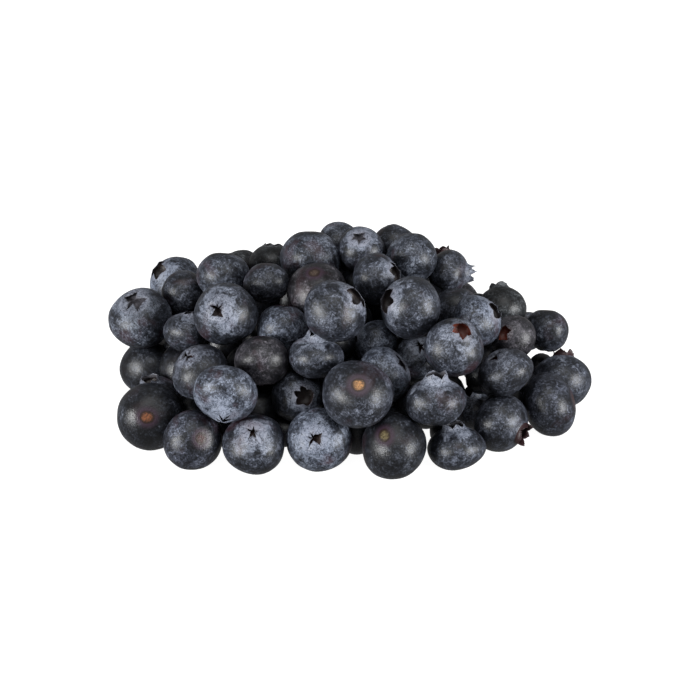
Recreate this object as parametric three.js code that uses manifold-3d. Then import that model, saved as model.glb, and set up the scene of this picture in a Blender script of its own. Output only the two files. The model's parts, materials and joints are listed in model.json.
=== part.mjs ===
// A loose heap of blueberries, as it lies on a flat surface: one solid, millimetres, +Z up.
// The berries that show are fused to a low core, out to the heap's uneven outline.
// The origin is on the surface below the front of the heap's middle, and the front faces -Y.
import * as THREE from 'three';
import { mergeVertices } from 'three/addons/utils/BufferGeometryUtils.js';
import Module from 'manifold-3d';

const wasm = await Module();
wasm.setup();

// Berries at the front and on top: [x, y, height of its middle, diameter, heading, lift, squash].
// Heading is the compass turn of the crown from +X towards +Y, lift its angle above level, in degrees.
// Squash is the share of the diameter that a berry measures from stem end to crown.
// A height of zero stands for a berry that lies on the surface.
const FRONT_ROW = [
  [-53, -18, 0, 18, 90, -28, 0.96],
  [-53, -4, 0, 15, 170, 72, 0.8],
  [-56.7, 11, 0, 16.5, -90, -62, 0.93],
  [-41, -28, 0, 15.5, 117, -30, 0.92],
  [-25, -29.6, 0, 16.4, -90, 58, 0.85],
  [-8, -29, 0, 17, -104, 36, 0.88],
  [2, -21, 0, 13, 0, 0, 0.85],
  [11.3, -32, 0, 17.5, 60, -48, 0.9],
  [27.8, -29, 0, 15.5, 110, 72, 0.72],
  [34, -8, 0, 13, -160, 76, 0.8],
  [40, -20, 0, 16, -37, -8, 0.9],
  [54, -11, 0, 17.5, 169, -19, 0.82],
  [58.8, 3.5, 0, 17, 80, 60, 0.88],
];
const SECOND_ROW = [
  [-39.5, -16, 21, 15.5, -151, 58, 0.88],
  [-32, -28, 21, 17, -97, -27, 0.8],
  [-23, -17, 25, 14, -90, -62, 0.93],
  [-14, -18, 15, 14.5, -70, 27, 0.88],
  [-9, -17, 26, 15, 70, 72, 0.72],
  [2, -30, 22, 18, 90, -49, 0.9],
  [9, -16, 20, 15, -2, 38, 0.88],
  [18, -7, 20.5, 12.5, -75, 62, 0.85],
  [22, -28, 19, 16, 90, 79, 0.76],
  [27, -19, 30, 15.5, -57, 62, 0.92],
  [41, -16, 21, 15, 171, 62, 0.8],
  [44, -2, 24, 12.5, -129, 35, 0.9],
];
const THIRD_ROW = [
  [-58.3, 11, 23, 18, -112, 68, 0.88],
  [-44.5, 2, 23.5, 13, 43, 67, 0.85],
  [-47, 20, 27, 12.5, -12, -21, 0.93],
  [-51, 35, 23, 15, -158, 47, 0.88],
  [-33, -6, 33, 17, -104, 37, 0.92],
  [-35, 14, 34.5, 14.5, -90, -62, 0.93],
  [-18, -5, 28, 14.5, -90, -62, 0.93],
  [-22.5, 6, 36.5, 12.5, -90, -62, 0.93],
  [7, -4, 23, 13, 180, 20, 0.9],
  [-4, -12, 37, 17, -11, 40, 0.9],
  [16, -8, 36, 17, -164, 25, 0.9],
  [34, -4, 30, 14, -7, 35, 0.85],
  [29, 7, 28, 13, -90, -62, 0.9],
  [55, 12, 19, 12.5, -90, -62, 0.93],
  [42.5, 16, 23.5, 14.5, 100, 55, 0.85],
];
const TOP = [
  [-9, 4, 35, 16, 80, -72, 0.93],
  [7, 5, 38, 14, -18, 26, 0.9],
  [-11, 20, 37, 17, -90, -62, 0.93],
  [3, 20, 40, 13, -103, 62, 0.88],
  [17, 18, 38.5, 14.5, -90, -62, 0.93],
  [27.5, 20, 33, 13, -6, 0, 0.85],
  [-22, 27, 33, 13, 90, 68, 0.8],
  [-32, 36, 26, 13, 150, 30, 0.88],
  [-3, 33, 35.5, 13.5, -9, 26, 0.92],
  [12.5, 32, 36, 12.5, 90, 40, 0.88],
  [28, 34, 28, 12, 142, 70, 0.88],
];

// The heap's skin, as the middles of its outer berries lie on it: a dome over an oval.
const HEAP_MIDDLE_Y = 16;
const HEAP_HALF_WIDTH = 60;
const HEAP_HALF_DEPTH = 49;
const LOWEST_MIDDLE = 7;
const SKIN_RISE = 31;
const SKIN_FULLNESS = 0.7;

// The core under the berries keeps this far behind their middles. Sharpness is how closely it follows them.
const BASE_MIDDLE = new THREE.Vector3(0, HEAP_MIDDLE_Y, 0);
const CORE_INSET = 4;
const CORE_SHARPNESS = 40;
const CORE_TURNS = 24;
const CORE_STEPS = 6;

// A neck holds a berry that stands clear of the core: it runs from its middle towards the core's foot.
const LEAST_HOLD = 2;
const NECK_THICKNESS = 0.6;
const NECK_SIDES = 6;
const NECK_FOOT_IN = 0.7;
const NECK_FOOT_DOWN = 0.5;

// Berries at the back, which find their own places.
const BACK_LIMIT = 60;
const BACK_TRIES = 900;
const BACK_DIAMETERS = [11.5, 16.5];
const BACK_UNEVENNESS = [-6, 1.5];
const BACK_LIFTS = [-30, 90];
const BACK_SQUASH = [0.76, 0.94];
const RING_STEP = 2;
const NEIGHBOURS = 3;
const NEIGHBOUR_REACH = 0.88;
const SEED = 4319;

// The skyline as seen from the front, above which no berry at the back stands. Each point is a place
// across and the height there, where the sight line passes over the plan's zero line.
const SKYLINE = [
  [-80, 10], [-62, 34], [-50, 47], [-33, 52], [-18, 53], [-10, 57], [3, 58.5],
  [20, 55.5], [27, 50], [34, 37.5], [43, 38.5], [55, 31], [64, 16], [80, 0],
];
const SIGHT_LIFT = THREE.MathUtils.degToRad(28);

// Places on the surface that show through gaps in the heap, to an eye in front of it and above.
const FRONT_EYE = new THREE.Vector3(0, -396, 229);
const OPEN_PLACES = [new THREE.Vector3(54, 33, 0), new THREE.Vector3(33, 18, 0)];
const SIGHT_ROOM = 1;

// One berry, as shares of its radius.
const BERRY_SIDES = 10;
const FLOOR_SINK = 0.3;
const CROWN_RADIUS = 0.4;
const CROWN_NOTCH = 0.3;
const LOBE_RISE = 0.13;
const CROWN_DEPTH = 0.2;
const BODY_LATITUDES = [-48, -4, 40];

const SKIN_COLOUR = '#343a49';
const SKIN_ROUGHNESS = 0.5;

// A repeatable draw between two limits.
const DRAW_FACTOR = 16807;
const DRAW_RANGE = 2147483647;
let drawState = SEED;
function draw(low, high) {
  drawState = (drawState * DRAW_FACTOR) % DRAW_RANGE;
  return low + (high - low) * drawState / DRAW_RANGE;
}

// How far out a place on the plan lies: 0 at the heap's middle and 1 on the oval of its outermost berries.
function heapReach(x, y) {
  return (x / HEAP_HALF_WIDTH) ** 2 + ((y - HEAP_MIDDLE_Y) / HEAP_HALF_DEPTH) ** 2;
}

// Height above the surface at which an outer berry's middle lies, over a place on the plan.
function skinHeight(x, y) {
  return LOWEST_MIDDLE + SKIN_RISE * Math.max(0, 1 - heapReach(x, y)) ** SKIN_FULLNESS;
}

function crownDirection(heading, lift) {
  const turn = THREE.MathUtils.degToRad(heading);
  const rise = THREE.MathUtils.degToRad(lift);
  return new THREE.Vector3(
    Math.cos(rise) * Math.cos(turn), Math.cos(rise) * Math.sin(turn), Math.sin(rise));
}

function berryAt([x, y, height, diameter, heading, lift, squash]) {
  const radius = diameter / 2;
  const crown = crownDirection(heading, lift);
  const spin = draw(0, 2 * Math.PI);
  const lowest = radius * Math.hypot(Math.sqrt(1 - crown.z ** 2), crown.z * squash);
  const middle = new THREE.Vector3(x, y, height || lowest - FLOOR_SINK);
  return { middle, radius, crown, squash, spin };
}

// How far a berry's place is from touching its nearest neighbours, their gaps added up.
// It is infinite where another berry already takes the place.
function looseness(middle, radius, berries) {
  const gaps = berries.map((other) => (
    middle.distanceTo(other.middle) - (radius + other.radius) * NEIGHBOUR_REACH));
  gaps.sort((one, two) => one - two);
  if (gaps[0] < 0) {
    return Infinity;
  }
  return gaps.slice(0, NEIGHBOURS).reduce((sum, gap) => sum + gap, 0);
}

// Whether a berry leaves the sight lines from the front to the open places on the surface free.
function leavesSight(middle, radius) {
  return OPEN_PLACES.every((place) => {
    const line = new THREE.Line3(place, FRONT_EYE);
    const nearest = line.closestPointToPoint(middle, true, new THREE.Vector3());
    return nearest.distanceTo(middle) > radius + SIGHT_ROOM;
  });
}

// Height of the skyline over a place across, between its points.
function skylineOver(x) {
  const after = SKYLINE.findIndex(([place]) => place > x);
  const [[x0, z0], [x1, z1]] = SKYLINE.slice(after - 1, after + 1);
  return THREE.MathUtils.mapLinear(x, x0, x1, z0, z1);
}

// How high the middle of a berry may lie for it to stay below the skyline.
function highestMiddle(x, y, radius) {
  const skyline = Math.min(skylineOver(x - radius), skylineOver(x), skylineOver(x + radius));
  return skyline - radius / Math.cos(SIGHT_LIFT) - y * Math.tan(SIGHT_LIFT);
}

// Lays berries on the surface along the back of the oval, side by side from its right end to its left.
function addBackRing(berries) {
  let turn = 0;
  while (turn < Math.PI) {
    const diameter = draw(...BACK_DIAMETERS);
    const middle = new THREE.Vector3(
      HEAP_HALF_WIDTH * Math.cos(turn),
      HEAP_MIDDLE_Y + HEAP_HALF_DEPTH * Math.sin(turn),
      LOWEST_MIDDLE);
    const heading = draw(0, 360);
    const lift = draw(...BACK_LIFTS);
    if (looseness(middle, diameter / 2, berries) < Infinity && leavesSight(middle, diameter / 2)) {
      const squash = draw(...BACK_SQUASH);
      berries.push(berryAt([middle.x, middle.y, 0, diameter, heading, lift, squash]));
    }
    turn += RING_STEP / HEAP_HALF_DEPTH;
  }
}

// Lays one layer of berries over the back of the skin, each as snugly as the tries allow.
function addBackLayer(berries) {
  for (let count = 0; count < BACK_LIMIT; count += 1) {
    let best = { gap: Infinity };
    for (let attempt = 0; attempt < BACK_TRIES; attempt += 1) {
      const x = draw(-HEAP_HALF_WIDTH, HEAP_HALF_WIDTH);
      const y = draw(HEAP_MIDDLE_Y, HEAP_MIDDLE_Y + HEAP_HALF_DEPTH);
      const diameter = draw(...BACK_DIAMETERS);
      const rough = skinHeight(x, y) + draw(...BACK_UNEVENNESS);
      const height = Math.min(rough, highestMiddle(x, y, diameter / 2));
      const middle = new THREE.Vector3(x, y, height);
      if (heapReach(x, y) > 1 || height < diameter / 2 || !leavesSight(middle, diameter / 2)) {
        continue;
      }
      const gap = looseness(middle, diameter / 2, berries);
      if (gap < best.gap) {
        best = { gap, x, y, height, diameter };
      }
    }
    if (best.gap === Infinity) {
      return;
    }
    const heading = draw(0, 360);
    const lift = draw(...BACK_LIFTS);
    const squash = draw(...BACK_SQUASH);
    berries.push(berryAt([best.x, best.y, best.height, best.diameter, heading, lift, squash]));
  }
}

// Turns a closed geometry into a solid, with shared corners merged and empty faces dropped.
function solidOf(geometry) {
  geometry.deleteAttribute('normal');
  geometry.deleteAttribute('uv');
  const merged = mergeVertices(geometry, 1e-4);
  const corners = [];
  for (let i = 0; i < merged.index.count; i += 3) {
    const [a, b, c] = [0, 1, 2].map((k) => merged.index.getX(i + k));
    if (a !== b && b !== c && c !== a) {
      corners.push(a, b, c);
    }
  }
  return new wasm.Manifold(new wasm.Mesh({
    numProp: 3,
    vertProperties: merged.attributes.position.array,
    triVerts: new Uint32Array(corners),
  }));
}

// One berry: a flattened ball with a crown of five lobes round a hollow.
function berrySolid(berry) {
  const { radius, squash } = berry;
  const pole = radius * squash;
  const profile = [new THREE.Vector2(0, -pole)];
  for (const latitude of BODY_LATITUDES) {
    const angle = THREE.MathUtils.degToRad(latitude);
    profile.push(new THREE.Vector2(radius * Math.cos(angle), pole * Math.sin(angle)));
  }
  const rim = profile.length;
  profile.push(new THREE.Vector2(radius * CROWN_RADIUS, pole));
  profile.push(new THREE.Vector2(0, pole - radius * CROWN_DEPTH));
  const geometry = new THREE.LatheGeometry(profile, BERRY_SIDES);
  const place = geometry.attributes.position;
  for (let side = 0; side <= BERRY_SIDES; side += 1) {
    const i = side * profile.length + rim;
    if (side % 2 === 0) {
      place.setY(i, pole + radius * LOBE_RISE);
    } else {
      place.setX(i, place.getX(i) * CROWN_NOTCH / CROWN_RADIUS);
      place.setZ(i, place.getZ(i) * CROWN_NOTCH / CROWN_RADIUS);
    }
  }
  geometry.rotateY(berry.spin);
  const turn = new THREE.Quaternion().setFromUnitVectors(new THREE.Vector3(0, 1, 0), berry.crown);
  geometry.applyQuaternion(turn);
  geometry.translate(...berry.middle);
  return solidOf(geometry);
}

// How far the core reaches from the middle of its base along a direction: short of the berries there.
function coreReach(direction, berries) {
  let weights = 0;
  let reaches = 0;
  for (const { middle } of berries) {
    const offset = middle.clone().sub(BASE_MIDDLE);
    const reach = offset.length();
    const weight = Math.exp((direction.dot(offset) / reach - 1) * CORE_SHARPNESS);
    weights += weight;
    reaches += weight * reach;
  }
  return reaches / weights - CORE_INSET;
}

// The core: a lumpy dome with a flat base, whose skin follows the berries from behind.
function coreSolid(berries) {
  const profile = [new THREE.Vector2(0, 0)];
  for (let step = 0; step < CORE_STEPS; step += 1) {
    const rise = step / CORE_STEPS * Math.PI / 2;
    profile.push(new THREE.Vector2(Math.cos(rise), Math.sin(rise)));
  }
  profile.push(new THREE.Vector2(0, 1));
  const geometry = new THREE.LatheGeometry(profile, CORE_TURNS);
  geometry.rotateX(Math.PI / 2);
  const place = geometry.attributes.position;
  const corner = new THREE.Vector3();
  for (let i = 0; i < place.count; i += 1) {
    corner.fromBufferAttribute(place, i);
    if (corner.length() > 0) {
      corner.multiplyScalar(coreReach(corner, berries));
    }
    corner.add(BASE_MIDDLE);
    place.setXYZ(i, ...corner);
  }
  return solidOf(geometry);
}

// A neck from the middle of a berry down into the core.
function neckSolid(berry) {
  const { middle, radius } = berry;
  const foot = new THREE.Vector3(
    middle.x * NECK_FOOT_IN,
    HEAP_MIDDLE_Y + (middle.y - HEAP_MIDDLE_Y) * NECK_FOOT_IN,
    middle.z * NECK_FOOT_DOWN);
  const axis = middle.clone().sub(foot);
  const thickness = radius * NECK_THICKNESS;
  const geometry = new THREE.CylinderGeometry(thickness, thickness, axis.length(), NECK_SIDES);
  const turn = new THREE.Quaternion().setFromUnitVectors(new THREE.Vector3(0, 1, 0), axis.normalize());
  geometry.applyQuaternion(turn);
  geometry.translate(...middle.clone().add(foot).divideScalar(2));
  return solidOf(geometry);
}

// Everything below the surface, which leaves each berry on it a small flat to rest on.
function belowSurface() {
  const size = 4 * HEAP_HALF_WIDTH;
  const geometry = new THREE.BoxGeometry(size, size, size);
  geometry.translate(0, HEAP_MIDDLE_Y, -size / 2);
  return solidOf(geometry);
}

// Joins the core, the berries and the necks of those that stand clear of the core.
// The one large piece is kept, which leaves out loose scraps and fills sealed hollows.
function heapSolid() {
  const berries = [...FRONT_ROW, ...SECOND_ROW, ...THIRD_ROW, ...TOP].map(berryAt);
  addBackRing(berries);
  addBackLayer(berries);
  const core = coreSolid(berries);
  const solids = berries.map(berrySolid);
  const clear = berries.filter((berry, i) => solids[i].intersect(core).volume() < LEAST_HOLD);
  const joined = wasm.Manifold.union([core, ...solids, ...clear.map(neckSolid)]);
  const pieces = joined.subtract(belowSurface()).decompose();
  return pieces.reduce((largest, piece) => (piece.volume() > largest.volume() ? piece : largest));
}

function geometryOf(solid) {
  const mesh = solid.getMesh();
  const geometry = new THREE.BufferGeometry();
  geometry.setAttribute('position', new THREE.BufferAttribute(mesh.vertProperties, 3));
  geometry.setIndex(new THREE.BufferAttribute(mesh.triVerts, 1));
  geometry.computeVertexNormals();
  return geometry;
}

const skin = new THREE.MeshStandardMaterial({
  color: SKIN_COLOUR,
  roughness: SKIN_ROUGHNESS,
  metalness: 0,
});
const heap = new THREE.Mesh(geometryOf(heapSolid()), skin);
heap.name = 'berry_heap';

const part = new THREE.Group();
part.add(heap);

export default part;
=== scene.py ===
import json
import math
from collections import namedtuple

import bpy
import numpy as np
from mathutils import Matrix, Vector

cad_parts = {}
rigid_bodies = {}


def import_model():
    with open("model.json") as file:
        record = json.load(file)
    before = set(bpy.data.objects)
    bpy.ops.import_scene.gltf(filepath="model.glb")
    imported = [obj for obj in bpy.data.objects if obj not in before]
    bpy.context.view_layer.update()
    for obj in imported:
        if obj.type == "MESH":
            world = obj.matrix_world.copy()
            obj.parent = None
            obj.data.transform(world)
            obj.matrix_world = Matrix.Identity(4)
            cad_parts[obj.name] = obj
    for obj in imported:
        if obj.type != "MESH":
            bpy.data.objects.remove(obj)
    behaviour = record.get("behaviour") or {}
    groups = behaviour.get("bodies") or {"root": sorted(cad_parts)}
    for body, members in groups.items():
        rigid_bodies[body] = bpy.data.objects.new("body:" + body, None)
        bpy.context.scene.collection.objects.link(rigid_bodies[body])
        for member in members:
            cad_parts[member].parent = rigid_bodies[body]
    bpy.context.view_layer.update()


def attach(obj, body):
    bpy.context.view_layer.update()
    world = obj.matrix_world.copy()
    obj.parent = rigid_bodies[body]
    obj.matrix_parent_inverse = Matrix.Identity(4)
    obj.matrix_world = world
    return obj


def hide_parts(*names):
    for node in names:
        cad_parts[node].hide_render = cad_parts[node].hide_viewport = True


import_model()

NODE = "berry_heap"
BODY = "root"
MM = 0.001

# Berries at the front and on top, as in the solid: x, y, height of the middle, diameter, heading and
# lift of the crown, in millimetres and degrees, and squash, the share of the diameter from stem end to
# crown. A height of zero stands for a berry that lies on the surface. Then come the form of its crown
# and the look of its skin.
FRONT_ROW = [
    (-53, -18, 0, 18, 90, -28, 0.96, "star", "dark"),
    (-53, -4, 0, 15, 170, 72, 0.8, "upright", "plain"),
    (-56.7, 11, 0, 16.5, -90, -62, 0.93, "star", "dark"),
    (-41, -28, 0, 15.5, 117, -30, 0.92, "open", "bruised"),
    (-25, -29.6, 0, 16.4, -90, 58, 0.85, "star", "ringed"),
    (-8, -29, 0, 17, -104, 36, 0.88, "star", "dusty"),
    (2, -21, 0, 13, 0, 0, 0.85, "open", "dark"),
    (11.3, -32, 0, 17.5, 60, -48, 0.9, "open", "weathered"),
    (27.8, -29, 0, 15.5, 110, 72, 0.72, "upright", "ringed"),
    (34, -8, 0, 13, -160, 76, 0.8, "tall", "ringed"),
    (40, -20, 0, 16, -37, -8, 0.9, "dry", "plain"),
    (54, -11, 0, 17.5, 169, -19, 0.82, "star", "bruised"),
    (58.8, 3.5, 0, 17, 80, 60, 0.88, "dry", "ringed"),
]
SECOND_ROW = [
    (-39.5, -16, 21, 15.5, -151, 58, 0.88, "star", "plain"),
    (-32, -28, 21, 17, -97, -27, 0.8, "cone", "dusty"),
    (-23, -17, 25, 14, -90, -62, 0.93, "star", "brown"),
    (-14, -18, 15, 14.5, -70, 27, 0.88, "open", "ringed"),
    (-9, -17, 26, 15, 70, 72, 0.72, "tall", "ringed"),
    (2, -30, 22, 18, 90, -49, 0.9, "star", "plain"),
    (9, -16, 20, 15, -2, 38, 0.88, "wide", "dusty"),
    (18, -7, 20.5, 12.5, -75, 62, 0.85, "star", "misty"),
    (22, -28, 19, 16, 90, 79, 0.76, "tall", "ringed"),
    (27, -19, 30, 15.5, -57, 62, 0.92, "ember", "ringed"),
    (41, -16, 21, 15, 171, 62, 0.8, "star", "plain"),
    (44, -2, 24, 12.5, -129, 35, 0.9, "ember", "brown"),
]
THIRD_ROW = [
    (-58.3, 11, 23, 18, -112, 68, 0.88, "wide", "misty"),
    (-44.5, 2, 23.5, 13, 43, 67, 0.85, "open", "ringed"),
    (-47, 20, 27, 12.5, -12, -21, 0.93, "star", "plain"),
    (-51, 35, 23, 15, -158, 47, 0.88, "open", "dusty"),
    (-33, -6, 33, 17, -104, 37, 0.92, "star", "ringed"),
    (-35, 14, 34.5, 14.5, -90, -62, 0.93, "open", "misty"),
    (-18, -5, 28, 14.5, -90, -62, 0.93, "open", "dusty"),
    (-22.5, 6, 36.5, 12.5, -90, -62, 0.93, "star", "plain"),
    (7, -4, 23, 13, 180, 20, 0.9, "open", "dusty"),
    (-4, -12, 37, 17, -11, 40, 0.9, "open", "ringed"),
    (16, -8, 36, 17, -164, 25, 0.9, "open", "ringed"),
    (34, -4, 30, 14, -7, 35, 0.85, "open", "dusty"),
    (29, 7, 28, 13, -90, -62, 0.9, "star", "plain"),
    (55, 12, 19, 12.5, -90, -62, 0.93, "star", "plain"),
    (42.5, 16, 23.5, 14.5, 100, 55, 0.85, "upright", "olive"),
]
TOP = [
    (-9, 4, 35, 16, 80, -72, 0.93, "star", "brown"),
    (7, 5, 38, 14, -18, 26, 0.9, "open", "ringed"),
    (-11, 20, 37, 17, -90, -62, 0.93, "star", "misty"),
    (3, 20, 40, 13, -103, 62, 0.88, "wide", "ringed"),
    (17, 18, 38.5, 14.5, -90, -62, 0.93, "open", "misty"),
    (27.5, 20, 33, 13, -6, 0, 0.85, "tall", "plain"),
    (-22, 27, 33, 13, 90, 68, 0.8, "open", "olive"),
    (-32, 36, 26, 13, 150, 30, 0.88, "open", "olive"),
    (-3, 33, 35.5, 13.5, -9, 26, 0.92, "open", "misty"),
    (12.5, 32, 36, 12.5, 90, 40, 0.88, "open", "plain"),
    (28, 34, 28, 12, 142, 70, 0.88, "dry", "plain"),
]

# How pale a skin is all over, how pale the ring round its crown, the tint laid over both, and the
# colour of the cork in its stem scar.
Look = namedtuple("Look", "bloom ring tint cork")
LOOKS = {
    "dark": Look(0.14, 0.12, "#f4f4f6", "#6a4028"),
    "plain": Look(0.32, 0.2, "#fafaff", "#90683f"),
    "misty": Look(0.44, 0.25, "#f8faff", "#644428"),
    "dusty": Look(0.58, 0.25, "#f2f6ff", "#644428"),
    "ringed": Look(0.34, 0.38, "#f8f9ff", "#644428"),
    "brown": Look(0.3, 0.15, "#ffeee8", "#463a32"),
    "olive": Look(0.2, 0.15, "#f4f2e4", "#4c4a3a"),
    "weathered": Look(0.16, 0.12, "#f4f4f6", "#5c5238"),
    "bruised": Look(0.34, 0.2, "#f6f6ff", "#34120f"),
    # The inside berries' look is painted shade: almost no bloom, a darker tint and dark cork stand in
    # for the shade in the gaps between the outer berries.
    "hidden": Look(0.02, 0.05, "#d0d0d4", "#1a1210"),
}
LOOK_CHANCES = ["dark", "plain", "plain", "misty", "dusty", "ringed", "ringed", "brown", "olive"]

# The heap's rule, as in the solid. Its skin is a dome over an oval, on which the middles of the outer
# berries lie. A ring of berries lies along the back of the oval, and a layer over the back of the dome.
HEAP_MIDDLE_Y = 16
HEAP_HALF_WIDTH = 60
HEAP_HALF_DEPTH = 49
LOWEST_MIDDLE = 7
SKIN_RISE = 31
SKIN_FULLNESS = 0.7
BACK_LIMIT = 60
BACK_TRIES = 900
BACK_DIAMETERS = (11.5, 16.5)
BACK_UNEVENNESS = (-6, 1.5)
BACK_LIFTS = (-30, 90)
BACK_SQUASH = (0.76, 0.94)
RING_STEP = 2
NEIGHBOURS = 3
NEIGHBOUR_REACH = 0.88
FLOOR_SINK = 0.3
SEED = 4319
LOOK_SEED = 77

# What the heap shows from the front. The skyline is its top line as x and height, the height being
# where the line of sight, which rises by the camera's lift towards the eye, passes over y = 0. From
# that eye the surface stays in view at the open places between the berries.
CAMERA_LIFT = 28
SKYLINE = [
    (-80, 10), (-62, 34), (-50, 47), (-33, 52), (-18, 53), (-10, 57), (3, 58.5),
    (20, 55.5), (27, 50), (34, 37.5), (43, 38.5), (55, 31), (64, 16), (80, 0),
]
SIGHT_LIFT = math.radians(CAMERA_LIFT)
FRONT_EYE = np.array([0.0, -396.0, 229.0])
OPEN_PLACES = [np.array([54.0, 33.0, 0.0]), np.array([33.0, 18.0, 0.0])]
SIGHT_ROOM = 1

# The hidden berries that carry the others. The carriers stand behind the front row: x, y, height and
# diameter. The rest lie at least a depth below the skin and leave one more gap open. The large ones
# come first, and the small ones fill what is left between them. Their skin is darkened as painted shade.
CARRIERS = [(-33.5, -18.5, 4.5, 9), (-17.3, -18.5, 4.5, 9), (25.6, -18, 4.5, 9), (37.8, 3, 5, 10)]
INSIDE_FORM = "star"
# The inside berries wear the look with painted shade.
INSIDE_PAINTED_SHADE_LOOK = "hidden"
INSIDE_SEED = 77
INSIDE_TRIES = 20000
INSIDE_FRONT = -23
INSIDE_DEPTH = 8
INSIDE_DIAMETERS = [(10.5, 15), (8.5, 10.5)]
INSIDE_REACH = 0.82
INSIDE_SIGHT_ROOM = 0.3
LYING_SHARE = 0.85
FRONT_GAP = np.array([21.6, -13.0, 0.0])

# One berry of radius 1, crown up. Its sides and rings are what its outline and its lobes need, and the
# hidden berries have fewer. The body's rings lie closer together at the stem end.
SIDES = 60
BODY_RINGS = 24
WALL_RINGS = 8
HOLLOW_RINGS = 6
INSIDE_SIDES = 20
INSIDE_FINENESS = 0.4
RING_SPACING = 1.15
LOBES = 5
VARIANTS = 4
DIMPLE_DEPTH = 0.07
DIMPLE_RADIUS = 0.24
SCAR_RADIUS = 0.17
SCAR_RISE = 0.025
SCAR_STEEPNESS = 4
KNOB_RISE = 0.05
KNOB_RADIUS = 0.07
WALL_TAPER = 0.75
LEAST_RADIUS = 0.02
LOBE_SHIFT = 2.4
LOBE_LENGTHS = (0.5, 1.3)
LOBE_LEANS = (-18, 18)
LOBE_RAGGED = (0.86, 1.1)

# Crown forms, as shares of the berry's radius: the crown's radius, the height of its rim below the
# notches, the length of its lobes, how pointed they are (a small number is blunt), the least depth of
# the notches between them, their lean at the foot and at the tip in degrees from upright (outwards is
# positive), the wall and the depth of the hollow. Dry is how far the lobes have dried dark, ember how
# red the hollow is, and waxed how much bloom lies in it.
Crown = namedtuple("Crown", "radius rim lobe point cleft foot tip wall hollow dry ember waxed")
CROWNS = {
    "star": Crown(0.46, 0.05, 0.36, 0.35, 0.45, -46, -112, 0.05, 0.2, 0.1, 0.15, 0),
    "open": Crown(0.48, 0.05, 0.22, 1.1, 0.85, -48, -46, 0.05, 0.32, 0.15, 0.05, 0),
    "upright": Crown(0.46, 0.12, 0.2, 0.7, 0.8, -46, 0, 0.05, 0.26, 0.05, 0.05, 0),
    "tall": Crown(0.52, 0.24, 0.3, 0.7, 0.8, -42, -6, 0.05, 0.3, 0.0, 0.05, 0),
    "cone": Crown(0.46, 0.16, 0.34, 0.6, 0.7, -40, -76, 0.05, 0.3, 0.0, 0.05, 0),
    "wide": Crown(0.5, 0.03, 0.34, 0.4, 0.6, -54, -108, 0.05, 0.12, 0.2, 0.05, 0.6),
    "dry": Crown(0.4, 0.06, 0.2, 0.6, 0.85, -35, 20, 0.05, 0.3, 1.0, 0.05, 0),
    "ember": Crown(0.42, 0.05, 0.2, 0.8, 0.8, -50, -45, 0.05, 0.3, 0.3, 1.0, 0),
}
CROWN_CHANCES = ["star", "star", "open", "open", "upright", "upright", "dry"]

# The skin's unevenness, in millimetres: slow swells, and small lumps on them.
SWELL_SIZE = 11
SWELL_HEIGHT = 1.3
LUMP_SIZE = 3.5
LUMP_HEIGHT = 0.22

# The value that a noise swings about, and a corner of the surface in front and to the left of every
# berry, in metres.
NOISE_MIDDLE = 0.5
FLOOR_CORNER = (-1.0, -1.0, 0.0)

# A mix node's colour sockets by number: the amount, the colour below, the one above, and the result.
MIX_AMOUNT = 0
MIX_UNDER = 6
MIX_OVER = 7
MIX_RESULT = 2

# Camera: how the photograph looks at the heap, with lens and sensor in millimetres.
CAMERA_DISTANCE = 448 * MM
CAMERA_AIM = Vector((0, 0, 19 * MM))
SENSOR = 36
LENS = 84.34

Berry = namedtuple("Berry", "middle radius crown squash spin form look")


class Draws:
    """A repeatable run of draws between two limits."""

    FACTOR = 16807
    RANGE = 2147483647

    def __init__(self, seed):
        self.state = seed

    def between(self, low, high):
        self.state = self.state * self.FACTOR % self.RANGE
        return low + (high - low) * self.state / self.RANGE

    def one_of(self, choices):
        return choices[min(int(self.between(0, len(choices))), len(choices) - 1)]


heap_draws = Draws(SEED)
look_draws = Draws(LOOK_SEED)


def heap_reach(x, y):
    """0 at the heap's middle and 1 on the oval of its outermost berries."""
    return (x / HEAP_HALF_WIDTH) ** 2 + ((y - HEAP_MIDDLE_Y) / HEAP_HALF_DEPTH) ** 2


def skin_height(x, y):
    """How high the middles of the outer berries lie."""
    return LOWEST_MIDDLE + SKIN_RISE * np.maximum(0, 1 - heap_reach(x, y)) ** SKIN_FULLNESS


def highest_middle(x, y, radius):
    """How high the middle of a berry may lie for it to stay below the skyline."""
    across, heights = zip(*SKYLINE)
    skyline = np.minimum.reduce([
        np.interp(x + step, across, heights) for step in (-radius, 0, radius)])
    return skyline - radius / math.cos(SIGHT_LIFT) - y * math.tan(SIGHT_LIFT)


def crown_direction(heading, lift):
    """The way a crown points, as a vector of length 1."""
    turn, rise = math.radians(heading), math.radians(lift)
    return np.array([
        math.cos(rise) * math.cos(turn), math.cos(rise) * math.sin(turn), math.sin(rise)])


def berry_at(x, y, height, diameter, heading, lift, squash, form, look):
    """A berry from its row of numbers, lying on the surface where its height is zero."""
    radius = diameter / 2
    crown = crown_direction(heading, lift)
    spin = heap_draws.between(0, 2 * math.pi)
    lowest = radius * math.hypot(math.sqrt(1 - crown[2] ** 2), crown[2] * squash)
    middle = np.array([x, y, height or lowest - FLOOR_SINK])
    return Berry(middle, radius, crown, squash, spin, form, look)


def looseness(middle, radius, berries):
    """How far a place is from touching its nearest neighbours, or infinity where it is taken."""
    middles = np.array([berry.middle for berry in berries])
    radii = np.array([berry.radius for berry in berries])
    gaps = np.sqrt(((middles - middle) ** 2).sum(axis=1)) - (radii + radius) * NEIGHBOUR_REACH
    gaps.sort()
    return math.inf if gaps[0] < 0 else gaps[:NEIGHBOURS].sum()


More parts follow.
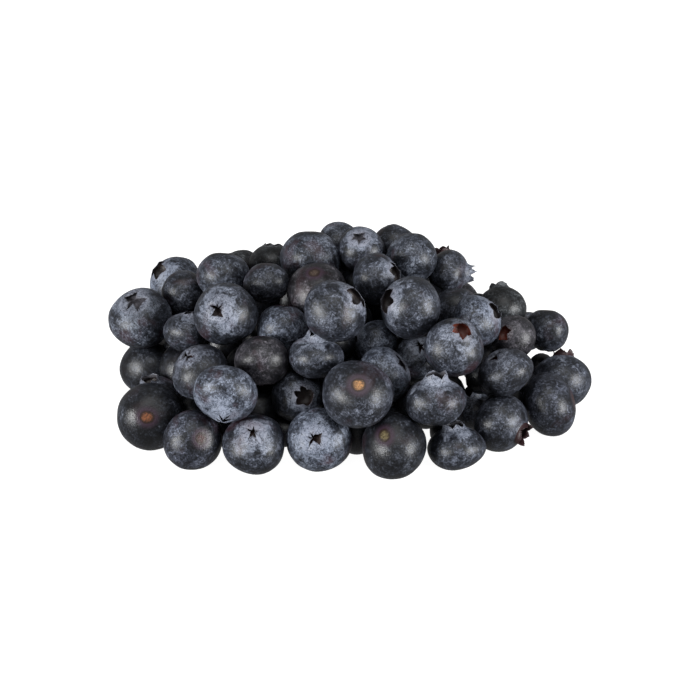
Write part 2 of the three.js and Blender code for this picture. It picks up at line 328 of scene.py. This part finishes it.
def sight_gap(middles, place):
    """How far middles lie from the sight line between the eye in front and a place on the surface."""
    line = FRONT_EYE - place
    along = np.clip((middles - place) @ line / (line @ line), 0, 1)
    return np.linalg.norm(place + np.multiply.outer(along, line) - middles, axis=-1)


def leaves_sight(middle, radius):
    """Whether a berry leaves the open places in view."""
    return all(sight_gap(middle, place) > radius + SIGHT_ROOM for place in OPEN_PLACES)


def add_back_ring(berries):
    """Berries on the surface along the back of the oval, side by side from right to left."""
    turn = 0
    while turn < math.pi:
        diameter = heap_draws.between(*BACK_DIAMETERS)
        middle = np.array([
            HEAP_HALF_WIDTH * math.cos(turn),
            HEAP_MIDDLE_Y + HEAP_HALF_DEPTH * math.sin(turn),
            LOWEST_MIDDLE])
        heading = heap_draws.between(0, 360)
        lift = heap_draws.between(*BACK_LIFTS)
        free = looseness(middle, diameter / 2, berries) < math.inf
        if free and leaves_sight(middle, diameter / 2):
            squash = heap_draws.between(*BACK_SQUASH)
            berries.append(berry_at(
                middle[0], middle[1], 0, diameter, heading, lift, squash,
                look_draws.one_of(CROWN_CHANCES), look_draws.one_of(LOOK_CHANCES)))
        turn += RING_STEP / HEAP_HALF_DEPTH


def add_back_layer(berries):
    """One layer over the back of the heap's skin, each berry as snug as the tries allow."""
    for _ in range(BACK_LIMIT):
        best_gap, best = math.inf, None
        for _ in range(BACK_TRIES):
            x = heap_draws.between(-HEAP_HALF_WIDTH, HEAP_HALF_WIDTH)
            y = heap_draws.between(HEAP_MIDDLE_Y, HEAP_MIDDLE_Y + HEAP_HALF_DEPTH)
            diameter = heap_draws.between(*BACK_DIAMETERS)
            rough = skin_height(x, y) + heap_draws.between(*BACK_UNEVENNESS)
            height = min(rough, highest_middle(x, y, diameter / 2))
            middle = np.array([x, y, height])
            if heap_reach(x, y) > 1 or height < diameter / 2:
                continue
            if not leaves_sight(middle, diameter / 2):
                continue
            gap = looseness(middle, diameter / 2, berries)
            if gap < best_gap:
                best_gap, best = gap, (x, y, height, diameter)
        if best is None:
            return
        heading = heap_draws.between(0, 360)
        lift = heap_draws.between(*BACK_LIFTS)
        squash = heap_draws.between(*BACK_SQUASH)
        berries.append(berry_at(
            *best, heading, lift, squash,
            look_draws.one_of(CROWN_CHANCES), look_draws.one_of(LOOK_CHANCES)))


def inside_berries(berries, diameters, tries):
    """Hidden berries that fill the room under the others: of many tries, the snuggest comes first."""
    x = tries.uniform(-HEAP_HALF_WIDTH, HEAP_HALF_WIDTH, INSIDE_TRIES)
    y = tries.uniform(INSIDE_FRONT, HEAP_MIDDLE_Y + HEAP_HALF_DEPTH, INSIDE_TRIES)
    radii = tries.uniform(*diameters, INSIDE_TRIES) / 2
    lying = radii * LYING_SHARE
    roof = np.minimum(skin_height(x, y) - INSIDE_DEPTH, highest_middle(x, y, radii))
    middles = np.stack([x, y, tries.uniform(lying, np.maximum(lying, roof))], axis=1)
    free = (heap_reach(x, y) < 1) & (highest_middle(x, y, radii) > lying)
    gaps = np.stack([
        *[sight_gap(middles, place) - radii - INSIDE_SIGHT_ROOM
          for place in (*OPEN_PLACES, FRONT_GAP)],
        *[np.linalg.norm(middles - berry.middle, axis=1) - (radii + berry.radius) * INSIDE_REACH
          for berry in berries]], axis=1)
    inside = []
    while True:
        free &= gaps.min(axis=1) > 0
        middles, radii, gaps, free = middles[free], radii[free], gaps[free], free[free]
        if not len(middles):
            return inside
        best = np.partition(gaps, NEIGHBOURS, axis=1)[:, :NEIGHBOURS].sum(axis=1).argmin()
        heading, lift = tries.uniform(0, 360), tries.uniform(*BACK_LIFTS)
        inside.append(berry_at(
            *middles[best], 2 * radii[best], heading, lift, tries.uniform(*BACK_SQUASH),
            INSIDE_FORM, INSIDE_PAINTED_SHADE_LOOK))
        added = np.linalg.norm(middles - middles[best], axis=1)
        added -= (radii + radii[best]) * INSIDE_REACH
        gaps = np.column_stack([gaps, added])


def linear(code):
    """An sRGB hex colour as linear values with full alpha."""
    values = [int(code[i:i + 2], 16) / 255 for i in (1, 3, 5)]
    return (*[v / 12.92 if v <= 0.04045 else ((v + 0.055) / 1.055) ** 2.4 for v in values], 1)


def add(tree, kind, inputs=None, **settings):
    """Adds a node with its settings, and sets or links its inputs by name or by number."""
    node = tree.nodes.new(kind)
    for name, value in settings.items():
        setattr(node, name, value)
    for name, value in (inputs or {}).items():
        if isinstance(value, bpy.types.NodeSocket):
            tree.links.new(value, node.inputs[name])
        else:
            node.inputs[name].default_value = value
    return node


def lobe_outline(crown, draws, sides):
    """For each side of a berry, the height of its crown's wall there and how its lobe leans."""
    per_lobe = sides // LOBES
    starts = [
        lobe * per_lobe + round(draws.between(-LOBE_SHIFT, LOBE_SHIFT)) for lobe in range(LOBES)]
    starts.append(starts[0] + sides)
    clefts = [draws.between(crown.cleft, 1) for _ in range(LOBES)]
    outline = [None] * sides
    for lobe in range(LOBES):
        reach = draws.between(*LOBE_LENGTHS)
        lean = draws.between(*LOBE_LEANS)
        for side in range(starts[lobe], starts[lobe + 1]):
            share = (side - starts[lobe]) / (starts[lobe + 1] - starts[lobe])
            cleft = clefts[(lobe + round(share)) % LOBES]
            rise = 1 - cleft * (1 - (1 - abs(2 * share - 1)) ** crown.point)
            height = crown.rim + crown.lobe * reach * rise * draws.between(*LOBE_RAGGED)
            outline[side % sides] = (height, lean * rise)
    return outline


def berry_column(crown, height, lean, rings):
    """One side of a berry, from the stem end to the floor of the crown's hollow. Each point is its
    distance from the axis, its height, its place on the way over the crown (less than 0 on the body,
    0 to 1 up the crown's wall, 1 to 2 down inside it, 2 to 3 in the hollow) and its distance from the
    stem."""
    body_rings, wall_rings, hollow_rings = rings
    top = math.acos(crown.radius)
    points = []
    for ring in range(1, body_rings + 1):
        latitude = -math.pi / 2 + (math.pi / 2 + top) * (ring / body_rings) ** RING_SPACING
        radius, rise = math.cos(latitude), math.sin(latitude)
        stem = radius if latitude < 0 else 1
        rise += DIMPLE_DEPTH * math.exp(-(stem / DIMPLE_RADIUS) ** 2)
        rise -= SCAR_RISE * math.exp(-(stem / SCAR_RADIUS) ** SCAR_STEEPNESS)
        points.append((radius, rise, latitude - top, stem))
    foot = (crown.radius, math.sin(top))
    sides = [(ring / wall_rings, 0) for ring in range(1, wall_rings + 1)]
    sides += [(1 - ring / wall_rings, 1) for ring in range(wall_rings + 1)]
    for share, inner in sides:
        turned = math.radians(crown.foot + (crown.tip + lean - crown.foot) * share)
        chord = math.radians(crown.foot + (crown.tip + lean - crown.foot) * share / 2)
        wall = inner * crown.wall * (1 - WALL_TAPER * share)
        radius = foot[0] + height * share * math.sin(chord) - wall * math.cos(turned)
        rise = foot[1] + height * share * math.cos(chord) + wall * math.sin(turned)
        points.append((max(radius, LEAST_RADIUS), rise, 2 - share if inner else share, 1))
    edge = points[-1]
    for ring in range(1, hollow_rings):
        turn = ring / hollow_rings * math.pi / 2
        radius = edge[0] * math.cos(turn)
        rise = edge[1] - crown.hollow * math.sin(turn)
        rise += KNOB_RISE * math.exp(-(radius / KNOB_RADIUS) ** 2)
        points.append((radius, rise, 2 + ring / hollow_rings, 1))
    return points


def berry_mesh(name, crown, draws, sides, rings):
    """A berry of radius 1 with its crown up, closed at both poles."""
    outline = lobe_outline(crown, draws, sides)
    columns = [berry_column(crown, height, lean, rings) for height, lean in outline]
    ring_count = len(columns[0])
    stem_end = -1 + DIMPLE_DEPTH - SCAR_RISE
    top = math.acos(crown.radius)
    corners = [(0, 0, stem_end)]
    crown_path = [-math.pi / 2 - top]
    stem_gap = [0]
    for ring in range(ring_count):
        for side in range(sides):
            radius, rise, path, stem = columns[side][ring]
            turn = 2 * math.pi * side / sides
            corners.append((radius * math.cos(turn), radius * math.sin(turn), rise))
            crown_path.append(path)
            stem_gap.append(stem)
    floor = columns[0][wall_end(rings)][1] - crown.hollow + KNOB_RISE
    corners.append((0, 0, floor))
    crown_path.append(3)
    stem_gap.append(1)
    faces = []
    for side in range(sides):
        after = (side + 1) % sides
        faces.append((0, 1 + after, 1 + side))
        for ring in range(ring_count - 1):
            low, high = 1 + ring * sides, 1 + (ring + 1) * sides
            faces.append((low + side, low + after, high + after, high + side))
        last = 1 + (ring_count - 1) * sides
        faces.append((last + side, last + after, len(corners) - 1))
    mesh = bpy.data.meshes.new(name)
    mesh.from_pydata(corners, [], faces)
    mesh.attributes.new("crown_path", "FLOAT", "POINT").data.foreach_set("value", crown_path)
    mesh.attributes.new("stem_gap", "FLOAT", "POINT").data.foreach_set("value", stem_gap)
    mesh.shade_smooth()
    return mesh


def wall_end(rings):
    """The number of the point at the foot of the crown's inner side."""
    return rings[0] + 2 * rings[1]


def heap_tree():
    """Lays a berry of the collection on each point, turned, sized and squashed as the point says,
    makes its skin uneven, and presses flat what would reach below the surface."""
    tree = bpy.data.node_groups.new("heap of berries", "GeometryNodeTree")
    sockets = tree.interface
    sockets.new_socket("Berries", in_out="OUTPUT", socket_type="NodeSocketGeometry")
    sockets.new_socket("Places", in_out="INPUT", socket_type="NodeSocketGeometry")
    sockets.new_socket("Forms", in_out="INPUT", socket_type="NodeSocketCollection")
    for name in ("Swell size", "Swell height", "Lump size", "Lump height"):
        sockets.new_socket(name, in_out="INPUT", socket_type="NodeSocketFloat")
    sockets.new_socket("Skin", in_out="INPUT", socket_type="NodeSocketMaterial")
    given = add(tree, "NodeGroupInput").outputs
    forms = add(tree, "GeometryNodeCollectionInfo", {
        "Collection": given["Forms"], "Separate Children": True, "Reset Children": True})
    values = {}
    for name, kind in (("variant", "INT"), ("spin", "FLOAT"), ("crown", "FLOAT_VECTOR"),
                       ("size", "FLOAT_VECTOR")):
        values[name] = add(
            tree, "GeometryNodeInputNamedAttribute", {"Name": name}, data_type=kind).outputs[0]
    upright = add(
        tree, "FunctionNodeAlignRotationToVector", {"Vector": values["crown"]}, axis="Z")
    spin = add(
        tree, "FunctionNodeAxisAngleToRotation", {"Axis": (0, 0, 1), "Angle": values["spin"]})
    turned = add(
        tree, "FunctionNodeRotateRotation",
        {"Rotation": upright.outputs[0], "Rotate By": spin.outputs[0]}, rotation_space="LOCAL")
    laid = add(tree, "GeometryNodeInstanceOnPoints", {
        "Points": given["Places"], "Instance": forms.outputs[0], "Pick Instance": True,
        "Instance Index": values["variant"], "Rotation": turned.outputs[0],
        "Scale": values["size"]})
    berries = add(tree, "GeometryNodeRealizeInstances", {"Geometry": laid.outputs[0]}).outputs[0]
    for size, height in (("Swell size", "Swell height"), ("Lump size", "Lump height")):
        scale = add(tree, "ShaderNodeMath", {0: 1.0, 1: given[size]}, operation="DIVIDE")
        noise = add(tree, "ShaderNodeTexNoise", {"Scale": scale.outputs[0], "Detail": 0.0})
        around = add(
            tree, "ShaderNodeVectorMath", {0: noise.outputs["Color"], 1: (NOISE_MIDDLE,) * 3},
            operation="SUBTRACT")
        shift = add(
            tree, "ShaderNodeVectorMath", {0: around.outputs[0], "Scale": given[height]},
            operation="SCALE")
        berries = add(tree, "GeometryNodeSetPosition", {
            "Geometry": berries, "Offset": shift.outputs[0]}).outputs[0]
    place = add(tree, "GeometryNodeInputPosition")
    above = add(
        tree, "ShaderNodeVectorMath", {0: place.outputs[0], 1: FLOOR_CORNER},
        operation="MAXIMUM")
    berries = add(tree, "GeometryNodeSetPosition", {
        "Geometry": berries, "Position": above.outputs[0]}).outputs[0]
    dressed = add(
        tree, "GeometryNodeSetMaterial", {"Geometry": berries, "Material": given["Skin"]})
    add(tree, "NodeGroupOutput", {0: dressed.outputs[0]})
    return tree


def place_mesh(berries):
    """One point for each berry, with what the tree and the skin's material read there."""
    mesh = bpy.data.meshes.new("places")
    mesh.from_pydata([tuple(berry.middle * MM) for berry in berries], [], [])
    looks = [LOOKS[berry.look] for berry in berries]
    crowns = [CROWNS[berry.form] for berry in berries]
    columns = {
        "spin": [berry.spin for berry in berries],
        "bloom": [look.bloom for look in looks],
        "ring": [look.ring for look in looks],
        "dry": [crown.dry for crown in crowns],
        "ember": [crown.ember for crown in crowns],
        "waxed": [crown.waxed for crown in crowns],
    }
    for name, values in columns.items():
        mesh.attributes.new(name, "FLOAT", "POINT").data.foreach_set("value", values)
    vectors = {
        "crown": [berry.crown for berry in berries],
        "size": [np.array([1, 1, berry.squash]) * berry.radius * MM for berry in berries],
        "tint": [linear(look.tint)[:3] for look in looks],
        "cork": [linear(look.cork)[:3] for look in looks],
    }
    for name, values in vectors.items():
        attribute = mesh.attributes.new(name, "FLOAT_VECTOR", "POINT")
        attribute.data.foreach_set("vector", np.array(values).ravel())
    variants = [number % VARIANTS for number in range(len(berries))]
    mesh.attributes.new("variant", "INT", "POINT").data.foreach_set("value", variants)
    return mesh


def berry_piece(name, berries, crown, sides, rings, tree, skin):
    """All berries of one kind as one plain mesh, laid once by the tree."""
    draws = Draws(SEED)
    forms = bpy.data.collections.new(name + "_forms")
    for variant in range(VARIANTS):
        label = f"{name}_{variant}"
        form = bpy.data.objects.new(label, berry_mesh(label, crown, draws, sides, rings))
        forms.objects.link(form)
    piece = bpy.data.objects.new(name, place_mesh(berries))
    bpy.context.scene.collection.objects.link(piece)
    values = {
        "Forms": forms, "Skin": skin,
        "Swell size": SWELL_SIZE * MM, "Swell height": SWELL_HEIGHT * MM,
        "Lump size": LUMP_SIZE * MM, "Lump height": LUMP_HEIGHT * MM}
    modifier = piece.modifiers.new("heap", "NODES")
    modifier.node_group = tree
    for socket in tree.interface.items_tree:
        if socket.name in values:
            modifier[socket.identifier] = values[socket.name]
    seen = piece.evaluated_get(bpy.context.evaluated_depsgraph_get())
    mesh = bpy.data.meshes.new_from_object(seen)
    piece.modifiers.clear()
    piece.data = mesh
    for used in ("variant", "spin", "crown", "size"):
        if used in mesh.attributes:
            mesh.attributes.remove(mesh.attributes[used])
    for form in list(forms.objects):
        bpy.data.objects.remove(form)
    bpy.data.collections.remove(forms)
    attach(piece, BODY)
    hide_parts(NODE)


# Skin colours from bare dark skin to thick bloom, and the crown's and scar's own colours.
SKIN_STEPS = [
    (0.0, "#08080a"), (0.29, "#121317"), (0.5, "#25282e"), (0.68, "#42454d"), (0.86, "#636871"),
    (1.0, "#7c8089")]
LOBE_EDGE = "#3a312f"
LOBE_DRY = "#281618"
LOBE_INSIDE = "#4b4a4e"
HOLLOW_DARK = "#0d0908"
HOLLOW_EMBER = "#582212"
SCAR_EDGE = "#1e120e"
SCAR_HALO = "#2c1f29"
BLUSH = "#3a2026"

# The skin's patterns: their size in millimetres, how much detail they have and how twisted they are.
# The grains of real wax are too fine to show, so the speckle is drawn as coarse as it needs to show.
Pattern = namedtuple("Pattern", "size detail twist")
PATTERNS = {
    "patch": Pattern(4, 2.0, 0.6),
    "smudge": Pattern(1.5, 5.0, 1.5),
    "speckle": Pattern(0.45, 2.0, 0.0),
    "blush": Pattern(9, 2.0, 0.5),
    "vein": Pattern(2.4, 3.0, 2.2),
}
PATTERN_ROUGHNESS = 0.6

# How far each pattern moves the bloom between bare and thick, and how much less it does so near the
# crown. The other swings thin the bloom in the scratches and near the stem, and thicken it on the lobes.
BLOOM_SWINGS = {"patch": 1.4, "smudge": 1.75, "speckle": 1.15}
RING_EVENNESS = 0.4
VEIN_WIDTH = 0.03
VEIN_SWING = -0.75
RUBBED_SWING = -0.25
LOBE_BLOOM = 0.22
BAREST_BLOOM = -0.4

# Parts of the skin: the way they are measured along, where they start and where they are full. The
# crown's way runs over its lobes into the hollow, the torn way is the same with a ragged start, and the
# stem's way runs out from the stem.
Zone = namedtuple("Zone", "way start full")
ZONES = {
    "near": Zone("torn", 0.25, 0.45),
    "edge": Zone("crown", 0.7, 1.0),
    "inside": Zone("crown", 1.0, 1.25),
    "hollow": Zone("crown", 1.6, 2.2),
    "wall": Zone("crown", -0.04, 0.1),
    "scar": Zone("stem", 0.23, 0.18),
    "scar_middle": Zone("stem", 0.18, 0.08),
    "halo": Zone("stem", 0.42, 0.2),
    "rubbed": Zone("stem", 0.75, 0.3),
}
RING_RAGGED = 1.2
SCAR_RAGGED = 0.12
EDGE_DRYNESS = 0.15

# Where the crumbs of cork and the blush start and are full, in their patterns.
CRUMBS = (0.35, 0.6)
LEAST_CRUMBS = 0.25
BLUSH_PATCHES = (0.58, 0.75)
BLUSH_SHARE = 1.2

# How rough the skin is where it is bare and where the bloom is thick, its IOR, and the height of its
# grain in millimetres.
BARE_ROUGHNESS = 0.34
BLOOM_ROUGHNESS = 0.5
SKIN_IOR = 1.4
GRAIN_HEIGHT = 0.06


def waxy_skin():
    """Fresh berry skin: near-black fruit under a thin grey-blue wax. The wax is uneven, rubbed off in
    smudges and thick round the crown, which gives the mottled, softly shining look."""
    material = bpy.data.materials.new("waxy_berry_skin")
    material.use_nodes = True
    tree = material.node_tree
    tree.nodes.clear()
    place = add(tree, "ShaderNodeTexCoord").outputs["Object"]
    read = {
        name: add(tree, "ShaderNodeAttribute", attribute_name=name).outputs
        for name in ("bloom", "ring", "tint", "cork", "dry", "ember", "waxed", "crown_path",
                     "stem_gap")}
    patterns = {
        name: add(tree, "ShaderNodeTexNoise", {
            "Vector": place, "Scale": 1 / (pattern.size * MM), "Detail": pattern.detail,
            "Roughness": PATTERN_ROUGHNESS, "Distortion": pattern.twist}).outputs["Fac"]
        for name, pattern in PATTERNS.items()}
    zones = skin_zones(tree, read, patterns)
    thick = bloom_thickness(tree, read, patterns, zones)
    colour = bloomed_colour(tree, thick, read, patterns, zones)
    colour = crown_colour(tree, colour, read, zones)
    rough = add(tree, "ShaderNodeMapRange", {
        "Value": thick, "To Min": BARE_ROUGHNESS, "To Max": BLOOM_ROUGHNESS}).outputs[0]
    grain = add(
        tree, "ShaderNodeMath", {0: patterns["smudge"], 1: patterns["speckle"]},
        operation="ADD").outputs[0]
    bump = add(tree, "ShaderNodeBump", {
        "Height": grain, "Distance": GRAIN_HEIGHT * MM, "Strength": 1.0}).outputs[0]
    shader = add(tree, "ShaderNodeBsdfPrincipled", {
        "Base Color": colour, "Roughness": rough, "Normal": bump, "IOR": SKIN_IOR})
    add(tree, "ShaderNodeOutputMaterial", {"Surface": shader.outputs[0]})
    return material


def skin_zones(tree, read, patterns):
    """How far each part of the skin is reached, from 0 where it starts to 1 where it is full."""
    ways = {"crown": read["crown_path"]["Fac"]}
    ways["torn"] = add(
        tree, "ShaderNodeMath", {0: patterns["patch"], 1: RING_RAGGED, 2: ways["crown"]},
        operation="MULTIPLY_ADD").outputs[0]
    ragged = add(
        tree, "ShaderNodeMath", {0: patterns["smudge"], 1: SCAR_RAGGED, 2: -SCAR_RAGGED / 2},
        operation="MULTIPLY_ADD").outputs[0]
    ways["stem"] = add(
        tree, "ShaderNodeMath", {0: read["stem_gap"]["Fac"], 1: ragged}, operation="ADD").outputs[0]
    zones = {
        name: add(
            tree, "ShaderNodeMapRange",
            {"Value": ways[zone.way], "From Min": zone.start, "From Max": zone.full},
            interpolation_type="SMOOTHSTEP").outputs[0]
        for name, zone in ZONES.items()}
    crumbs = add(tree, "ShaderNodeMapRange", {
        "Value": patterns["speckle"], "From Min": CRUMBS[0], "From Max": CRUMBS[1],
        "To Min": LEAST_CRUMBS}).outputs[0]
    zones["scar_middle"] = add(
        tree, "ShaderNodeMath", {0: zones["scar_middle"], 1: crumbs},
        operation="MULTIPLY").outputs[0]
    return zones


def bloom_thickness(tree, read, patterns, zones):
    """How thick the bloom lies, 0 to 1: the berry's own amount, the pale ring round its crown, the skin
    rubbed near the stem, the mottle, the scratches along the veins, and the bloom on the lobes."""
    mottle = 0.0
    for name, swing in BLOOM_SWINGS.items():
        moved = add(
            tree, "ShaderNodeMath", {0: patterns[name], 1: NOISE_MIDDLE},
            operation="SUBTRACT").outputs[0]
        mottle = add(
            tree, "ShaderNodeMath", {0: moved, 1: swing, 2: mottle},
            operation="MULTIPLY_ADD").outputs[0]
    evenness = add(
        tree, "ShaderNodeMath", {0: zones["near"], 1: -RING_EVENNESS, 2: 1.0},
        operation="MULTIPLY_ADD").outputs[0]
    off_vein = add(
        tree, "ShaderNodeMath", {0: patterns["vein"], 1: NOISE_MIDDLE},
        operation="SUBTRACT").outputs[0]
    off_vein = add(tree, "ShaderNodeMath", {0: off_vein}, operation="ABSOLUTE").outputs[0]
    vein = add(tree, "ShaderNodeMapRange", {
        "Value": off_vein, "From Min": VEIN_WIDTH, "From Max": 0.0}).outputs[0]
    thick = read["bloom"]["Fac"]
    for amount, swing in (
            (zones["near"], read["ring"]["Fac"]), (zones["rubbed"], RUBBED_SWING),
            (mottle, evenness), (vein, VEIN_SWING), (zones["wall"], LOBE_BLOOM)):
        thick = add(
            tree, "ShaderNodeMath", {0: amount, 1: swing, 2: thick},
            operation="MULTIPLY_ADD").outputs[0]
    return add(
        tree, "ShaderNodeMapRange", {"Value": thick, "From Min": BAREST_BLOOM}).outputs[0]


def bloomed_colour(tree, thick, read, patterns, zones):
    """The body's colour: bare to thick bloom in the berry's tint, then blush, halo, scar and cork."""
    skin = add(tree, "ShaderNodeValToRGB", {"Fac": thick})
    stops = skin.color_ramp.elements
    given = len(stops)
    for number, (step, code) in enumerate(SKIN_STEPS):
        stop = stops[number] if number < given else stops.new(step)
        stop.position = step
        stop.color = linear(code)
    tinted = add(
        tree, "ShaderNodeMix",
        {MIX_AMOUNT: 1.0, MIX_UNDER: skin.outputs["Color"], MIX_OVER: read["tint"]["Color"]},
        data_type="RGBA", blend_type="MULTIPLY").outputs[MIX_RESULT]
    blush = add(tree, "ShaderNodeMapRange", {
        "Value": patterns["blush"], "From Min": BLUSH_PATCHES[0], "From Max": BLUSH_PATCHES[1],
        "To Max": BLUSH_SHARE}).outputs[0]
    blush = add(
        tree, "ShaderNodeMath", {0: blush, 1: read["bloom"]["Fac"]},
        operation="MULTIPLY").outputs[0]
    return layered(tree, tinted, (
        (blush, linear(BLUSH)), (zones["halo"], linear(SCAR_HALO)),
        (zones["scar"], linear(SCAR_EDGE)), (zones["scar_middle"], read["cork"]["Color"])))


def crown_colour(tree, body, read, zones):
    """The crown over the body's colour: the lobes' edge and inner side, the hollow, and what has dried
    dark. Bloom in a waxed hollow covers its inner side and floor."""
    dried = add(
        tree, "ShaderNodeMath", {0: zones["wall"], 1: read["dry"]["Fac"]},
        operation="MULTIPLY").outputs[0]
    glow = add(
        tree, "ShaderNodeMix",
        {MIX_AMOUNT: read["ember"]["Fac"], MIX_UNDER: linear(HOLLOW_DARK),
         MIX_OVER: linear(HOLLOW_EMBER)},
        data_type="RGBA").outputs[MIX_RESULT]
    bare = add(
        tree, "ShaderNodeMath", {0: read["waxed"]["Fac"], 1: -1.0, 2: 1.0},
        operation="MULTIPLY_ADD").outputs[0]
    hollow, inside = (
        add(tree, "ShaderNodeMath", {0: zones[name], 1: bare}, operation="MULTIPLY").outputs[0]
        for name in ("hollow", "inside"))
    edge_dry = add(
        tree, "ShaderNodeMath", {0: read["dry"]["Fac"], 1: EDGE_DRYNESS},
        operation="ADD").outputs[0]
    edge = add(
        tree, "ShaderNodeMath", {0: zones["edge"], 1: edge_dry}, operation="MULTIPLY").outputs[0]
    return layered(tree, body, (
        (edge, linear(LOBE_EDGE)), (inside, linear(LOBE_INSIDE)), (dried, linear(LOBE_DRY)),
        (hollow, glow)))


def layered(tree, colour, layers):
    """A colour with others laid over it in turn, each by its amount."""
    for amount, over in layers:
        colour = add(
            tree, "ShaderNodeMix", {MIX_AMOUNT: amount, MIX_UNDER: colour, MIX_OVER: over},
            data_type="RGBA").outputs[MIX_RESULT]
    return colour


# Each softbox: its turn from the front to the right and its lift above level, in degrees, its distance
# and side in metres and its power in watts. The low ones make the two soft highlights on each berry.
Softbox = namedtuple("Softbox", "turn lift distance side power")
SOFTBOXES = {
    "left softbox": Softbox(-54, 13, 0.75, 0.26, 8.2),
    "right softbox": Softbox(60, 13, 0.75, 0.26, 8.2),
    "top softbox": Softbox(10, 70, 0.9, 0.7, 4),
}
COOL_WHITE = (0.98, 0.99, 1.0)

# The white surface: half its side in metres, its own glow, and the share of light that it sends back.
# The room's light is what the berries get from it.
FLOOR_HALF = 6.0
FLOOR_GLOW = 0.97
FLOOR_ALBEDO = 0.3
ROOM_LIGHT = 0.265


def aimed(name, data, turn, lift, distance):
    """A camera or light that looks at the heap, with its turn counted from the front to the right."""
    turn, lift = math.radians(turn), math.radians(lift)
    back = Vector((
        math.sin(turn) * math.cos(lift), -math.cos(turn) * math.cos(lift), math.sin(lift)))
    placed = bpy.data.objects.new(name, data)
    placed.location = CAMERA_AIM + back * distance
    placed.rotation_mode = "QUATERNION"
    placed.rotation_quaternion = (-back).to_track_quat("-Z", "Y")
    bpy.context.scene.collection.objects.link(placed)
    return placed


def camera():
    """The camera straight in front of the heap."""
    data = bpy.data.cameras.new("camera")
    data.lens = LENS
    data.sensor_width = SENSOR
    bpy.context.scene.camera = aimed("camera", data, 0, CAMERA_LIFT, CAMERA_DISTANCE)


def table_top():
    """A white surface that glows so evenly that it shows no shade, as behind a cut-out photograph."""
    material = bpy.data.materials.new("white_table_top")
    material.use_nodes = True
    tree = material.node_tree
    tree.nodes.clear()
    shader = add(tree, "ShaderNodeBsdfPrincipled", {
        "Base Color": (FLOOR_ALBEDO, FLOOR_ALBEDO, FLOOR_ALBEDO, 1), "Roughness": 1.0,
        "Emission Color": (1, 1, 1, 1), "Emission Strength": FLOOR_GLOW})
    add(tree, "ShaderNodeOutputMaterial", {"Surface": shader.outputs[0]})
    mesh = bpy.data.meshes.new("floor")
    mesh.from_pydata(
        [(-FLOOR_HALF, -FLOOR_HALF, 0), (FLOOR_HALF, -FLOOR_HALF, 0), (FLOOR_HALF, FLOOR_HALF, 0),
         (-FLOOR_HALF, FLOOR_HALF, 0)], [], [(0, 1, 2, 3)])
    mesh.materials.append(material)
    floor = bpy.data.objects.new("floor", mesh)
    floor.visible_diffuse = False
    floor.visible_glossy = False
    bpy.context.scene.collection.objects.link(floor)


def studio():
    """Softboxes beside and above the heap, a white table top, and a room that is white to the camera
    and dimmer to the berries."""
    for name, box in SOFTBOXES.items():
        data = bpy.data.lights.new(name, "AREA")
        data.shape = "SQUARE"
        data.size = box.side
        data.energy = box.power
        data.color = COOL_WHITE
        aimed(name, data, box.turn, box.lift, box.distance)
    table_top()
    world = bpy.data.worlds.new("pale room")
    world.use_nodes = True
    room = world.node_tree
    room.nodes.clear()
    seen = add(room, "ShaderNodeLightPath").outputs["Is Camera Ray"]
    strength = add(room, "ShaderNodeMapRange", {
        "Value": seen, "To Min": ROOM_LIGHT, "To Max": 1.0}).outputs[0]
    glow = add(room, "ShaderNodeBackground", {"Color": (1, 1, 1, 1), "Strength": strength})
    add(room, "ShaderNodeOutputWorld", {"Surface": glow.outputs[0]})
    bpy.context.scene.world = world
    bpy.context.scene.view_settings.view_transform = "Standard"


camera()
studio()
outer = [berry_at(*row) for row in (*FRONT_ROW, *SECOND_ROW, *THIRD_ROW, *TOP)]
add_back_ring(outer)
add_back_layer(outer)
tries = np.random.default_rng(INSIDE_SEED)
inner = [berry_at(*carrier, 0, 0, 1, INSIDE_FORM, INSIDE_PAINTED_SHADE_LOOK) for carrier in CARRIERS]
for diameters in INSIDE_DIAMETERS:
    inner += inside_berries([*outer, *inner], diameters, tries)
heap = heap_tree()
skin_material = waxy_skin()
full_rings = (BODY_RINGS, WALL_RINGS, HOLLOW_RINGS)
for form_name, crown_form in CROWNS.items():
    kind = [berry for berry in outer if berry.form == form_name]
    berry_piece(
        f"berries_{form_name}_crown", kind, crown_form, SIDES, full_rings, heap, skin_material)
few_rings = tuple(round(count * INSIDE_FINENESS) for count in full_rings)
berry_piece(
    "berries_inside", inner, CROWNS[INSIDE_FORM], INSIDE_SIDES, few_rings, heap, skin_material)
